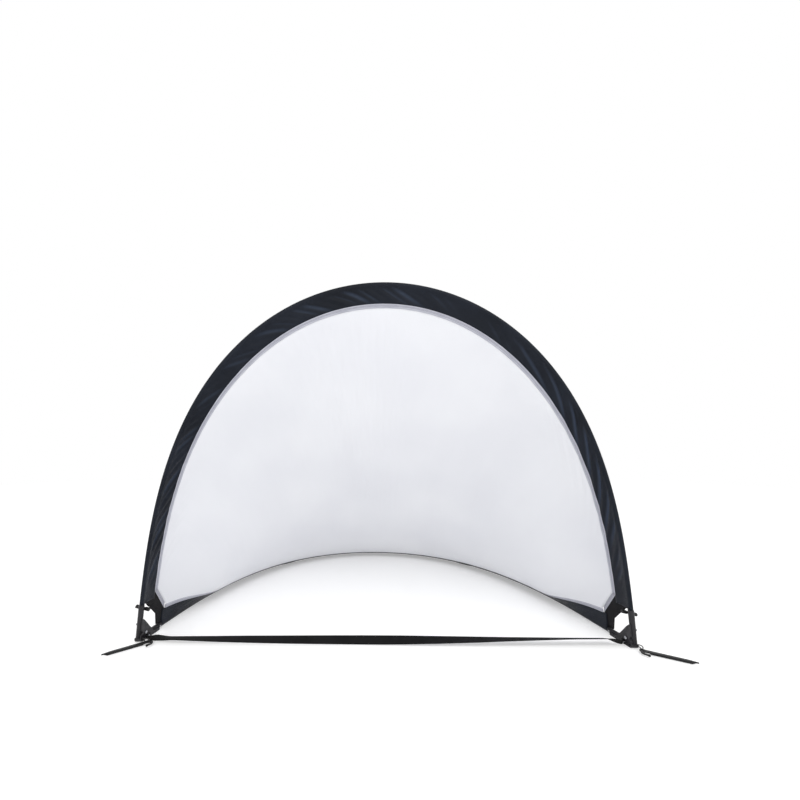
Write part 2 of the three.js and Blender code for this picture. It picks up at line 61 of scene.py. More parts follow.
# ---- Driving sizes ----
FOOT_SPAN = 1.48                # between the pole axes at hinge height
POLE_OFFSET = 0.014             # pole axis to hinge axis
POCKET_RADIUS = 0.008           # outside of the cloth round a pole
POCKET_BORE = 0.0069
BAND_REACH = 0.052              # pole axis to the inner edge of the band
BAND_HALF = 0.0008              # half of the band's two layers of cloth
TAPE_REACH = 0.0613             # pole axis to the inner edge of the binding tape
NET_HALF = 0.0005
NET_HANDLE = 0.3                # how far the net keeps a band's line, as a share of the way across
SAG_ANGLE = math.radians(20)    # how far the front band drops below 45 degrees at the middle
REAR_SIDE = math.radians(34)    # slope of the rear band near the feet and at the middle
REAR_MIDDLE = math.radians(15)
LEAN_START = 0.060              # distances behind the hinge between which the rear band leans over
LEAN_END = 0.340
SOCKET_LENGTH = 0.088
REAR_SOCKET = 0.080
SLEEVE_GAP = 0.0018
CHAMFER_TOP = (0.0384, 0.115)   # where the corner tape meets the two bands, behind and above the hinge
CHAMFER_BACK = (0.093, 0.0384)
CLOTH_STEP = 0.006
FINE_FOLD_SLANT = math.radians(27)      # wrinkles all round the band, to its length
FINE_FOLD_SPACING = 0.044
FINE_FOLD_HEIGHT = 0.0028
LONG_FOLD_SLANT = math.radians(16)      # longer ones on the right
LONG_FOLD_SPACING = 0.105
LONG_FOLD_HEIGHT = 0.0080
REAR_FOLD_SHARE = 0.25                  # height of the rear band's wrinkles beside the front band's
FERRULE_PLACE = 0.540           # from the middle of each pole to its joints
POCKET_SLIM = 0.66              # the pocket's thickness to its width, and how it swells over a ferrule
FERRULE_SWELL = 0.2
FERRULE_SPREAD = 0.04


# ---- Meshes ----
def make_piece(name, points, faces, uvs=None, smooth=True):
    mesh = bpy.data.meshes.new(name)
    mesh.from_pydata([tuple(map(float, p)) for p in points], [], [tuple(map(int, f)) for f in faces])
    if uvs is not None:
        corners = np.zeros(len(mesh.loops), int)
        mesh.loops.foreach_get("vertex_index", corners)
        layer = mesh.uv_layers.new(name="UVMap")
        layer.data.foreach_set("uv", np.asarray(uvs, float)[corners].ravel())
    mesh.polygons.foreach_set("use_smooth", [smooth] * len(mesh.polygons))
    mesh.validate()
    piece = bpy.data.objects.new(name, mesh)
    bpy.context.scene.collection.objects.link(piece)
    return piece


def strip_faces(rows, ring, first=0, stride=None, flip=False):
    """Quads between rows of ring points each, where a row's first point has the number first."""
    stride = stride or ring
    faces = []
    for k in range(rows - 1):
        for i in range(ring):
            p = k * stride + first + i
            q = k * stride + first + (i + 1) % ring
            face = (p, q, q + stride, p + stride)
            faces.append(face[::-1] if flip else face)
    return faces


def cap_faces(outline, holes):
    """Triangles over a flat section, numbered in the order of its points."""
    loops = [[Vector((x, y, 0)) for x, y in loop] for loop in (outline, *holes)]
    return tessellate_polygon(loops)


def smoothstep(low, high, value):
    t = np.clip((value - low) / (high - low), 0, 1)
    return t * t * (3 - 2 * t)


# ---- The bent poles, and the surface that their bands and the net lie in ----
class Pole:
    """A springy pole held at two feet, which bends more the higher it stands over the line of the feet."""

    STEP = 0.001

    def __init__(self, rise, upright):
        self.upright = upright
        self.sign = 1 if upright else -1
        low, high = 0.0, 4 / rise ** 2
        for _ in range(40):
            stiffness = (low + high) / 2
            if self.bend(rise, stiffness)[-1][1] > FOOT_SPAN / 2:
                low = stiffness
            else:
                high = stiffness
        self.s, self.x, self.h, self.angle = np.array(self.bend(rise, low)).T

    def bend(self, rise, stiffness):
        """Rows of distance from the middle, x, height over the feet, and angle, down to the foot."""
        rows = []
        s, x, h, angle = 0.0, 0.0, rise, 0.0
        while h > 0:
            rows.append((s, x, h, angle))
            middle = angle + stiffness * h * self.STEP / 2
            x += math.cos(middle) * self.STEP
            h -= math.sin(middle) * self.STEP
            angle += stiffness * (h + math.sin(middle) * self.STEP / 2) * self.STEP
            s += self.STEP
        rows.append((s, x, h, angle))
        return rows

    def place(self, s):
        """Points of the pole's axis and its directions there, at distances s from its middle."""
        side = np.where(s < 0, -1.0, 1.0)
        x = side * np.interp(abs(s), self.s, self.x)
        h = np.interp(abs(s), self.s, self.h)
        angle = side * np.interp(abs(s), self.s, self.angle)
        zero = np.zeros_like(x)
        if self.upright:
            point = np.stack([x, zero + HINGE.y - POLE_OFFSET, HINGE.z + h], -1)
            return point, np.stack([np.cos(angle), zero, -np.sin(angle)], -1)
        point = np.stack([x, HINGE.y + h, zero + HINGE.z - POLE_OFFSET], -1)
        return point, np.stack([np.cos(angle), -np.sin(angle), zero], -1)

    def axes(self, s):
        """Points of the axis, the direction into the net, and the direction square to its surface."""
        point, along = self.place(s)
        if self.upright:
            slope = math.pi / 4 + SAG_ANGLE * (1 - (2 * point[:, 0] / FOOT_SPAN) ** 2)
            down = np.stack([np.zeros_like(slope), np.cos(slope), -np.sin(slope)], -1)
            inward = down - along * (down * along).sum(1, keepdims=True)
            inward /= np.linalg.norm(inward, axis=1, keepdims=True)
            return point, inward, np.cross(along, inward)
        behind = point[:, 1] - HINGE.y
        lying = REAR_SIDE + (REAR_MIDDLE - REAR_SIDE) * behind / self.h[0]
        foot = front.angle[-1]
        slope = foot + (lying - foot) * smoothstep(LEAN_START, LEAN_END, behind)
        up = np.array([0, 0, 1.0])
        inward = np.cross(along, up) * np.cos(slope)[:, None] + up * np.sin(slope)[:, None]
        return point, inward, np.cross(along, inward)

    def distance_at(self, height):
        return float(np.interp(-height, -self.h, self.s))

    def stations(self, end, step=CLOTH_STEP):
        return np.linspace(-end, end, int(2 * end / step) + 1)

    def ripple(self, s, reach):
        """How far the wrinkled band stands off its surface: slanting folds, strongest on the right."""
        slant = s - reach / math.tan(FINE_FOLD_SLANT)
        wander = 0.25 * np.sin(9.1 * s + 1.3) + 0.18 * np.sin(23.7 * s + 0.4)
        phase = 2 * math.pi * (slant / FINE_FOLD_SPACING + wander)
        fine = (0.5 + 0.5 * np.cos(phase)) ** 1.5 - 0.4
        fine += 0.6 * np.sin(2 * math.pi * slant / 0.147 + 0.8)
        long_slant = s - reach / math.tan(LONG_FOLD_SLANT)
        long_wander = 0.35 * np.sin(5.3 * s + 0.7) + 0.12 * np.sin(17.0 * s)
        long_phase = 2 * math.pi * (long_slant / LONG_FOLD_SPACING + long_wander)
        long = (0.5 + 0.5 * np.cos(long_phase)) ** 1.8 - 0.35
        calm = 1 - 0.8 * smoothstep(0.12, 0.25, s) * (1 - smoothstep(0.32, 0.45, s))
        strong = smoothstep(0.38, 0.55, s) * (1 - smoothstep(1.05, 1.25, s))
        patches = 0.75 + 0.25 * np.sin(6.1 * s + 2.1)
        size = (FINE_FOLD_HEIGHT * fine * (1 - strong) * calm + LONG_FOLD_HEIGHT * long * strong) * patches
        if not self.upright:
            size = REAR_FOLD_SHARE * size
        # They fade out over the pocket, towards the tape, near the feet and inside the net.
        fade = smoothstep(0.0, 0.020, reach) * (1 - 0.75 * smoothstep(0.032, 0.052, reach))
        ends = 1 - smoothstep(self.s[-1] - 0.20, self.s[-1] - 0.12, abs(s))
        return size * fade * ends * (1 - smoothstep(0.065, 0.16, reach))

    def girth(self, s):
        """The pocket's thickness, as a share of its width: slim on the pole and fuller over the ferrules."""
        return POCKET_SLIM + FERRULE_SWELL * np.exp(-((abs(s) - FERRULE_PLACE) / FERRULE_SPREAD) ** 4)

    def surface(self, s, reach, lift=0.0):
        """Points at a reach in from the pole and a lift off the surface, wrinkles included."""
        point, inward, outward = self.axes(s)
        reach = np.broadcast_to(np.asarray(reach, float), s.shape)
        stand = self.ripple(s, reach) + lift
        return point + inward * reach[:, None] + outward * stand[:, None]


front = Pole(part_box("front_sleeve")[1].z - POCKET_RADIUS - HINGE.z, upright=True)
rear = Pole(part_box("rear_sleeve")[1].y - POCKET_RADIUS - HINGE.y, upright=False)
FRONT_END = front.distance_at(SOCKET_LENGTH + SLEEVE_GAP)
REAR_END = rear.distance_at(REAR_SOCKET + SLEEVE_GAP)
FOOT_LEAN = {pole: math.tan(math.pi / 2 - pole.angle[-1]) for pole in (front, rear)}


def corner_point(side, x, y, z):
    """From x outboard of the pole axis, y behind the hinge and z above it, leaning as the poles do."""
    lean = FOOT_LEAN[front] * max(z, 0) + FOOT_LEAN[rear] * max(y, 0)
    return Vector((side * (FOOT_SPAN / 2 + x - lean), HINGE.y + y, HINGE.z + z))


def fold_with_arch(piece):
    """Bakes a cloth piece's placement into its mesh."""
    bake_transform(piece)


# ---- Materials ----
def srgb(*channels):
    """A linear colour from 0-255 screen values."""
    return tuple(c / 255 / 12.92 if c < 11 else ((c / 255 + 0.055) / 1.055) ** 2.4 for c in channels) + (1.0,)


class Finish:
    """A Principled material, with a short call for each node that feeds it."""

    def __init__(self, name, roughness, metallic=0.0, **fixed):
        self.material = bpy.data.materials.new(name)
        self.material.use_nodes = True
        self.tree = self.material.node_tree
        self.shader = self.tree.nodes["Principled BSDF"]
        self.shader.inputs["Roughness"].default_value = roughness
        self.shader.inputs["Metallic"].default_value = metallic
        for socket, value in fixed.items():
            self.shader.inputs[socket.replace("_", " ").title().replace("Ior", "IOR")].default_value = value
        self.places = self.tree.nodes.new("ShaderNodeTexCoord")

    def add(self, kind, inputs=(), **settings):
        node = self.tree.nodes.new("ShaderNode" + kind)
        for key, value in settings.items():
            setattr(node, key, value)
        for key, value in dict(inputs).items():
            if isinstance(value, bpy.types.NodeSocket):
                self.tree.links.new(value, node.inputs[key])
            else:
                node.inputs[key].default_value = value
        return node

    def noise(self, scale, detail=3.0):
        values = {"Vector": self.places.outputs["Object"], "Scale": scale, "Detail": detail}
        return self.add("TexNoise", values).outputs["Fac"]

    def waves(self, length, direction):
        """Bands of a given length in metres across U (X) or V (Y)."""
        scale = math.pi / (10 * length)
        values = {"Vector": self.places.outputs["UV"], "Scale": scale, "Distortion": 0.0}
        return self.add("TexWave", values, bands_direction=direction).outputs["Fac"]

    def math(self, operation, first, second=0.0):
        return self.add("Math", {0: first, 1: second}, operation=operation).outputs[0]

    def range(self, value, low, high, to_low=0.0, to_high=1.0):
        values = {"Value": value, "From Min": low, "From Max": high, "To Min": to_low, "To Max": to_high}
        return self.add("MapRange", values).outputs["Result"]

    def mix(self, share, first, second):
        node = self.add("Mix", data_type="RGBA")
        for socket, value in zip((node.inputs[0], node.inputs[6], node.inputs[7]), (share, first, second)):
            if isinstance(value, bpy.types.NodeSocket):
                self.tree.links.new(value, socket)
            else:
                socket.default_value = value
        return node.outputs[2]

    def set(self, socket, value):
        self.tree.links.new(value, self.shader.inputs[socket])

    def bump(self, height, distance):
        values = {"Height": height, "Distance": distance, "Strength": 1.0}
        self.set("Normal", self.add("Bump", values).outputs["Normal"])


def woven(name, dark, light, thread, roughness, depth, sheen, ridge_highlight=None):
    """Plain-woven cloth: crossing threads, a tonal drift, and a painted highlight, a paler tone along its
    wrinkles' ridges.
    """
    finish = Finish(name, roughness, sheen_weight=sheen, sheen_roughness=0.4, specular_ior_level=0.14)
    warp, weft = finish.waves(thread, "X"), finish.waves(thread, "Y")
    weave = finish.math("MULTIPLY", warp, weft)
    drift = finish.range(finish.noise(7.0, 4.0), 0.35, 0.65)
    tone = finish.math("MULTIPLY_ADD", weave, 0.35)
    tone.node.inputs[2].default_value = 0.0
    share = finish.math("ADD", finish.math("MULTIPLY", drift, 0.65), tone)
    base = finish.mix(share, dark, light)
    # Painted highlight: where the wrinkle height stored on the mesh is high, the colour is mixed towards a
    # paler tone.
    if ridge_highlight:
        height = finish.add("Attribute", attribute_name="ridge_highlight").outputs["Fac"]
        base = finish.mix(finish.range(height, 0.0002, 0.0045), base, ridge_highlight)
    finish.set("Base Color", base)
    finish.set("Roughness", finish.range(finish.noise(60.0), 0.3, 0.7, roughness - 0.06, roughness + 0.06))
    slub = finish.math("MULTIPLY", finish.noise(700.0, 2.0), 0.5)
    finish.bump(finish.math("ADD", weave, slub), depth)
    return finish.material


def net_mesh():
    """Fine knitted mesh: staggered cells pressed into bright cloth, with painted shade darkening each hole.
    """
    finish = Finish("net_mesh", 0.85, sheen_weight=0.15, sheen_roughness=0.5)
    cell = 0.0022
    values = {"Vector": finish.places.outputs["UV"], "Scale": (1 / cell,) * 3}
    place = finish.add("Mapping", values).outputs[0]
    values = {"Vector": place, "Scale": 1.0, "Randomness": 0.15}
    cells = finish.add("TexVoronoi", values, voronoi_dimensions="2D")
    hole = finish.range(cells.outputs["Distance"], 0.18, 0.34, 1.0, 0.0)
    drift = finish.range(finish.noise(3.0, 2.0), 0.35, 0.65)
    thread = finish.mix(drift, srgb(219, 220, 225), srgb(225, 226, 230))
    # Painted shade: each hole is mixed towards a darker grey, for the shade seen through the net's openings.
    finish.set("Base Color", finish.mix(finish.math("MULTIPLY", hole, 0.16), thread, srgb(150, 152, 160)))
    finish.bump(finish.math("SUBTRACT", 1.0, hole), 0.00015)
    return finish.material


def binding_tape():
    """Folded grosgrain tape, light at its two edges with a darker sewn channel between them."""
    finish = Finish("binding_tape", 0.8, sheen_weight=0.1)
    uv = finish.add("SeparateXYZ", {"Vector": finish.places.outputs["UV"]})
    across = uv.outputs["Y"]                      # 0 to 1 from the band to the net
    off_seam = finish.math("ABSOLUTE", finish.math("SUBTRACT", across, 0.42))
    channel = finish.range(off_seam, 0.10, 0.22, 1.0, 0.0)
    stitch_bands = finish.waves(0.0032, "X")
    on_line = finish.range(off_seam, 0.02, 0.07, 1.0, 0.0)
    stitch = finish.math("MULTIPLY", on_line, finish.range(stitch_bands, 0.25, 0.45))
    ribs = finish.waves(0.0011, "X")
    drift = finish.range(finish.noise(25.0), 0.3, 0.7)
    base = finish.mix(drift, srgb(164, 165, 176), srgb(180, 181, 191))
    toned = finish.mix(channel, base, srgb(134, 134, 147))
    finish.set("Base Color", finish.mix(stitch, toned, srgb(208, 209, 216)))
    height = finish.math("ADD", finish.math("MULTIPLY", ribs, 0.4), finish.math("SUBTRACT", 1.0, channel))
    finish.bump(height, 0.0003)
    return finish.material


def strap_webbing():
    """Woven webbing: ribs across its length and a smooth selvedge along both edges."""
    finish = Finish("strap_webbing", 0.72, sheen_weight=0.02, sheen_roughness=0.4, specular_ior_level=0.12)
    uv = finish.add("SeparateXYZ", {"Vector": finish.places.outputs["UV"]})
    edge = finish.range(finish.math("ABSOLUTE", finish.math("SUBTRACT", uv.outputs["Y"], 0.5)), 0.40, 0.46)
    ribs = finish.waves(0.0016, "X")
    cross = finish.math("MULTIPLY", ribs, finish.add("TexWave", {
        "Vector": finish.places.outputs["UV"], "Scale": 4.0}, bands_direction="Y").outputs["Fac"])
    drift = finish.range(finish.noise(12.0, 4.0), 0.3, 0.7)
    share = finish.math("MULTIPLY", finish.math("ADD", drift, cross), 0.5)
    finish.set("Base Color", finish.mix(share, srgb(13, 13, 14), srgb(26, 26, 27)))
    finish.bump(finish.math("MAXIMUM", cross, edge), 0.00035)
    return finish.material


def moulded(name, dark, light, roughness, grain=0.00006):
    """Injection-moulded plastic with a spark-eroded grain and slightly rubbed high spots."""
    finish = Finish(name, roughness, specular_ior_level=0.3)
    drift = finish.range(finish.noise(30.0, 5.0), 0.3, 0.7)
    finish.set("Base Color", finish.mix(drift, dark, light))
    finish.set("Roughness", finish.range(finish.noise(140.0), 0.3, 0.7, roughness - 0.08, roughness + 0.08))
    finish.bump(finish.noise(1500.0, 2.0), grain)
    return finish.material


def braided_elastic():
    finish = Finish("braided_elastic", 0.6, sheen_weight=0.15)
    place = finish.places.outputs["Object"]
    braid = finish.add("TexVoronoi", {"Vector": place, "Scale": 1100.0, "Randomness": 0.3})
    drift = finish.range(finish.noise(80.0), 0.3, 0.7)
    finish.set("Base Color", finish.mix(drift, srgb(20, 20, 22), srgb(38, 38, 41)))
    finish.bump(braid.outputs["Distance"], 0.0003)
    return finish.material


def metal(name, dark, light, roughness):
    finish = Finish(name, roughness, metallic=1.0)
    drift = finish.range(finish.noise(40.0, 5.0), 0.3, 0.7)
    finish.set("Base Color", finish.mix(drift, dark, light))
    rubbed = finish.range(finish.noise(220.0, 4.0), 0.3, 0.7, roughness - 0.1, roughness + 0.12)
    finish.set("Roughness", rubbed)
    finish.bump(finish.noise(600.0, 3.0), 0.00003)
    return finish.material


def fibreglass():
    """Pultruded rod: fine fibres along it under a thin resin gloss."""
    finish = Finish("fibreglass", 0.4, coat_weight=0.3)
    stretched = finish.add("Mapping", {"Vector": finish.places.outputs["Object"], "Scale": (1.0, 12.0, 1.0)})
    values = {"Vector": stretched.outputs[0], "Scale": 220.0, "Detail": 4.0}
    fibres = finish.add("TexNoise", values).outputs["Fac"]
    finish.set("Base Color", finish.mix(finish.range(fibres, 0.3, 0.7), srgb(34, 36, 38), srgb(58, 60, 64)))
    finish.bump(fibres, 0.00005)
    return finish.material


LOOKS = {
    # The sleeve's paler ridge colour is a painted highlight on its wrinkles.
    "sleeve": woven("sleeve_cloth", srgb(14, 18, 26), srgb(26, 31, 41), 0.0009, 0.40, 0.00008, sheen=0.03,
                    ridge_highlight=srgb(50, 59, 75)),
    "gusset": woven("gusset_cloth", srgb(10, 9, 12), srgb(18, 17, 21), 0.0012, 0.6, 0.00012, sheen=0.02),
    "net": net_mesh(),
    "binding": binding_tape(),
    "strap": strap_webbing(),
    "elastic": braided_elastic(),
    "bracket": moulded("bracket_plastic", srgb(22, 21, 24), srgb(36, 35, 39), 0.42),
    "toggle": moulded("toggle_plastic", srgb(12, 12, 13), srgb(22, 22, 24), 0.40),
    "peg": moulded("peg_plastic", srgb(10, 10, 11), srgb(20, 21, 22), 0.42, grain=0.0001),
    "steel": metal("rivet_steel", srgb(150, 152, 156), srgb(188, 190, 194), 0.32),
    "ferrule": metal("ferrule_metal", srgb(165, 168, 172), srgb(196, 199, 203), 0.3),
    "pole": fibreglass(),
}


def dress(piece, look):
    piece.data.materials.clear()
    piece.data.materials.append(LOOKS[look])
    return piece


# ---- Cloth pieces ----
def sleeve_section():
    """The sleeve's outline as (reach, lift), and its bore: a pocket that tapers into the band."""
    start = math.radians(66)
    root, shoulder = POCKET_RADIUS * math.cos(start), POCKET_RADIUS * math.sin(start)
    taper = 2 * (shoulder - BAND_HALF) * math.tan(start)
    flat = np.linspace(BAND_REACH - 0.001, root + taper, 5)
    reaches = [BAND_REACH, *flat, *np.linspace(root + taper, root, 9)[1:]]
    top = []
    for reach in reaches:
        left = max(0.0, 1 - (reach - root) / taper)
        edge = 0.5 if reach == BAND_REACH else 1.0
        top.append((reach, edge * BAND_HALF + (shoulder - BAND_HALF) * left ** 2))
    turns = np.linspace(start, 2 * math.pi - start, 13)[1:-1]
    pocket = [(POCKET_RADIUS * math.cos(t), POCKET_RADIUS * math.sin(t)) for t in turns]
    bottom = [(reach, -lift) for reach, lift in reversed(top)]
    turns = np.linspace(0, 2 * math.pi, 17)[:-1]
    bore = [(POCKET_BORE * math.cos(t), POCKET_BORE * math.sin(t)) for t in turns]
    return top + pocket + bottom, bore


def loft_along(name, pole, end, outline, bore=(), across=None, slim=False):
    """A closed solid: a section of (reach, lift) points carried along a pole, with an optional bore."""
    s = pole.stations(end)
    ring = [*outline, *bore]
    columns = [pole.surface(s, reach, lift * (pole.girth(s) if slim else 1)) for reach, lift in ring]
    points = np.stack(columns, 1).reshape(-1, 3)
    rows, count = len(s), len(ring)
    faces = strip_faces(rows, len(outline), 0, count)
    faces += strip_faces(rows, len(bore), len(outline), count, flip=True)
    last = (rows - 1) * count
    for a, b, c in cap_faces(outline, [bore] if bore else ()):
        faces += [(a, b, c), (last + c, last + b, last + a)]
    v = np.array(across if across is not None else [reach for reach, _ in ring])
    uvs = np.stack(np.broadcast_arrays(s[:, None], v[None, :]), -1).reshape(-1, 2)
    piece = make_piece(name, points, faces, uvs)
    face_outward(piece)
    return piece


def face_outward(piece):
    """Turns every face of a closed mesh to the outside."""
    bpy.ops.object.select_all(action="DESELECT")
    bpy.context.view_layer.objects.active = piece
    piece.select_set(True)
    bpy.ops.object.mode_set(mode="EDIT")
    bpy.ops.mesh.select_all(action="SELECT")
    bpy.ops.mesh.normals_make_consistent(inside=False)
    bpy.ops.object.mode_set(mode="OBJECT")


def make_sleeve(name, pole, end):
    outline, bore = sleeve_section()
    s = pole.stations(end)
    # The wrinkles' heights, stored on the mesh to place the painted highlight along their ridges.
    ridge_highlight_heights = np.stack([pole.ripple(s, reach) for reach, _ in [*outline, *bore]], 1)
    piece = dress(loft_along(f"{name}_sleeve_cloth", pole, end, outline, bore, slim=True), "sleeve")
    piece.data.attributes.new("ridge_highlight", "FLOAT", "POINT").data.foreach_set("value", ridge_highlight_heights.ravel())
    fold_with_arch(piece)
    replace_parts(piece, f"{name}_sleeve")
    return piece


def make_binding(name, pole, end):
    """Folded tape that grips the band's edge on one side and the net's on the other."""
    near, far, half = BAND_REACH - 0.0015, TAPE_REACH + 0.0015, 0.0013
    middle = (near + far) / 2
    outline = [(near, 0.5 * half), (near + 0.0005, half), (middle - 0.001, half), (middle, 0.7 * half),
               (middle + 0.001, half), (far - 0.0005, half), (far, 0.5 * half)]
    outline += [(reach, -lift) for reach, lift in reversed(outline)]
    across = [(reach - near) / (far - near) for reach, _ in outline]
    piece = dress(loft_along(f"{name}_binding_tape", pole, end, outline, across=across), "binding")
    fold_with_arch(piece)
    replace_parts(piece, f"{name}_binding")
    return piece


def net_grid(columns=260, rows=120):
    """The net's middle surface, in one easy curve from each point of the front binding to the rear one."""
    share = np.linspace(-1, 1, columns + 1)
    front_s = share * front.distance_at(CHAMFER_TOP[1] + 0.003)
    rear_s = share * rear.distance_at(CHAMFER_BACK[0] + 0.003)
    top, bottom = front.surface(front_s, TAPE_REACH), rear.surface(rear_s, TAPE_REACH)
    length = np.linalg.norm(top - bottom, axis=1)
    handle = (1 - 0.9 * smoothstep(0.88, 1, abs(share))) * NET_HANDLE * length
    from_top = top + front.axes(front_s)[1] * handle[:, None]
    from_bottom = bottom + rear.axes(rear_s)[1] * handle[:, None]
    t = np.linspace(0, 1, rows + 1)
    weights = ((1 - t) ** 3, 3 * (1 - t) ** 2 * t, 3 * (1 - t) * t ** 2, t ** 3)
    grid = sum(p[:, None] * w[None, :, None] for p, w in zip((top, from_top, from_bottom, bottom), weights))
    normal = np.cross(np.gradient(grid, axis=0), np.gradient(grid, axis=1))
    normal /= np.linalg.norm(normal, axis=2, keepdims=True)
    depth = t[None, :] * length[:, None]
    u = np.repeat((share * front.s[-1])[:, None], rows + 1, axis=1)
    # The bands' wrinkles run on into the net and die out there, measured from their size at the seam.
    stand = np.zeros(grid.shape[:2])
    for pole, s, away in ((front, front_s, depth), (rear, rear_s, length[:, None] - depth)):
        stand += pole.ripple(s[:, None], TAPE_REACH + away) * smoothstep(0, 0.004, away)
    calm = smoothstep(0, 0.12, depth) * smoothstep(0, 0.12, length[:, None] - depth)
    drape = np.sin(3.1 * u + 2.3 * depth + 0.4) + 0.6 * np.sin(7.9 * u - 3.7 * depth + 1.9)
    grid = grid + normal * (stand + 0.0016 * drape * calm)[:, :, None]
    return grid, (u, depth), normal


def make_net():
    grid, (u, v), normal = net_grid()
    columns, rows = grid.shape[:2]
    faces_of_net = [(grid + normal * NET_HALF).reshape(-1, 3), (grid - normal * NET_HALF).reshape(-1, 3)]
    points = np.concatenate(faces_of_net)
    under = columns * rows
    faces = []
    for i in range(columns - 1):
        for j in range(rows - 1):
            a = i * rows + j
            face = (a, a + rows, a + rows + 1, a + 1)
            faces += [face, tuple(p + under for p in reversed(face))]
    rim = [i * rows for i in range(columns)] + [(columns - 1) * rows + j for j in range(1, rows)]
    rim += [i * rows + rows - 1 for i in range(columns - 2, -1, -1)] + list(range(rows - 2, 0, -1))
    for p, q in zip(rim, rim[1:] + rim[:1]):
        faces.append((q, p, p + under, q + under))
    uvs = np.tile(np.stack([u, v], -1).reshape(-1, 2), (2, 1))
    piece = make_piece("goal_net", points, faces, uvs)
    face_outward(piece)
    dress(piece, "net")
    fold_with_arch(piece)
    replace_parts(piece, "net")
    # The mesh's area, summed over its cells.
    cells = np.cross(np.gradient(grid, axis=0), np.gradient(grid, axis=1))
    flat_area = float(np.linalg.norm(cells, axis=2).sum())
    return piece, flat_area


def rounded(outline, radius, turns=4):
    """An outline of (y, z) points with its corners rounded."""
    points = [Vector(p) for p in outline]
    result = []
    for i, corner in enumerate(points):
        before = (points[i - 1] - corner)
        after = (points[(i + 1) % len(points)] - corner)
        reach = min(radius, before.length * 0.45, after.length * 0.45)
        start, end = corner + before.normalized() * reach, corner + after.normalized() * reach
        for k in range(turns + 1):
            t = k / turns
            result.append(start * (1 - t) ** 2 + corner * 2 * t * (1 - t) + end * t ** 2)
    return result


def edge_distance(point, outline):
    """From a point to the nearest edge of a closed outline."""
    best = 1.0
    for a, b in zip(outline, outline[1:] + outline[:1]):
        along = b - a
        t = max(0.0, min(1.0, (point - a).dot(along) / max(along.length_squared, 1e-12)))
        best = min(best, (point - a - along * t).length)
    return best


def cloth_panel(name, side, outline, half, hem, grid_step=0.004):
    """A flat cloth panel in the corner frame, with a raised rolled hem round its edge."""
    inner = []
    low = Vector((min(p.x for p in outline), min(p.y for p in outline)))
    high = Vector((max(p.x for p in outline), max(p.y for p in outline)))
    loops = [(outline[i], outline[(i + 1) % len(outline)]) for i in range(len(outline))]
    for i in range(int((high.x - low.x) / grid_step)):
        for j in range(int((high.y - low.y) / grid_step)):
            p = low + Vector(((i + 0.5) * grid_step, (j + 0.5) * grid_step))
            crossings = sum((a.y > p.y) != (b.y > p.y) and p.x < a.x + (p.y - a.y) * (b.x - a.x) / (b.y - a.y)
                            for a, b in loops)
            if crossings % 2 and edge_distance(p, outline) > grid_step * 0.6:
                inner.append(p)
    flat, _, triangles, *_ = delaunay_2d_cdt([*outline, *inner], [], [list(range(len(outline)))], 1, 1e-7)
    points, uvs = [], []
    for way in (1, -1):
        for p in flat:
            near = edge_distance(p, outline)
            lift = half * (0.45 + 0.55 * min(1, near / 0.0012))
            lift += hem * float(smoothstep(0.0048, 0.0036, near))
            points.append(corner_point(side, way * lift, p.x, p.y))
            uvs.append((p.x, p.y))
    under = len(flat)
    faces = [tuple(t) for t in triangles] + [tuple(i + under for i in reversed(t)) for t in triangles]
    count = {}
    for triangle in triangles:
        for a, b in zip(triangle, triangle[1:] + triangle[:1]):
            count[(a, b)] = count.get((a, b), 0) + 1
    for a, b in count:
        if (b, a) not in count:
            faces.append((b, a, a + under, b + under))
    piece = make_piece(name, points, faces, uvs)
    face_outward(piece)
    return piece


def make_gusset(name, side):
    outline = [(0.013, 0.076), (0.024, 0.0665), (0.054, 0.034), (0.061, -0.0045), (0.079, -0.0055),
               (0.093, -0.006), CHAMFER_BACK, CHAMFER_TOP, (-0.004, 0.106), (-0.006, 0.093), (0.008, 0.083)]
    panel = cloth_panel(f"{name}_gusset_cloth", side, rounded(outline, 0.003), 0.0014, 0.0005)
    piece = dress(panel, "gusset")
    fold_with_arch(piece)
    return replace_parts(piece, f"{name}_gusset")


def make_corner_binding(name, side):
    """The tape across the corner, where the net meets the gusset."""
    top, back = Vector(CHAMFER_TOP), Vector(CHAMFER_BACK)
    line = (back - top).normalized()
    out = Vector((-line.y, line.x))
    length = (back - top).length
    steps = 16
    half, near, far = 0.0014, -0.0015, 0.0115
    section = [(near, 0.5), (near + 0.0005, 1), (0.0045, 1), (0.005, 0.7), (0.0055, 1),
               (far - 0.0005, 1), (far, 0.5)]
    section += [(reach, -lift) for reach, lift in reversed(section)]
    points, uvs = [], []
    for k in range(steps + 1):
        along = top + line * (length * k / steps)
        # The ends are mitred into the two bindings, upright at the front and level at the back.
        for reach, lift in section:
            slide = (out.y / line.y) if k < steps / 2 else (out.x / line.x)
            share = abs(1 - 2 * k / steps)
            p = along + out * reach - line * reach * slide * share
            points.append(corner_point(side, lift * half, p.x, p.y))
            uvs.append((length * k / steps, (reach - near) / (far - near)))
    count = len(section)
    faces = strip_faces(steps + 1, count)
    faces += [tuple(range(count)), tuple(steps * count + i for i in reversed(range(count)))]
    piece = make_piece(f"{name}_corner_binding_tape", points, faces, uvs)
    face_outward(piece)
    dress(piece, "binding")
    fold_with_arch(piece)
    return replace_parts(piece, f"{name}_corner_binding")


# ---- The front strap ----
STRAP_WIDTH = 0.025
STRAP_HALF = 0.0007
STRAP_END_WIDTH = 0.014
STRAP_END_X = 0.7234
STRAP_TAB = HINGE.y - 0.003
TAB_HEIGHT = HINGE.z - 0.0145


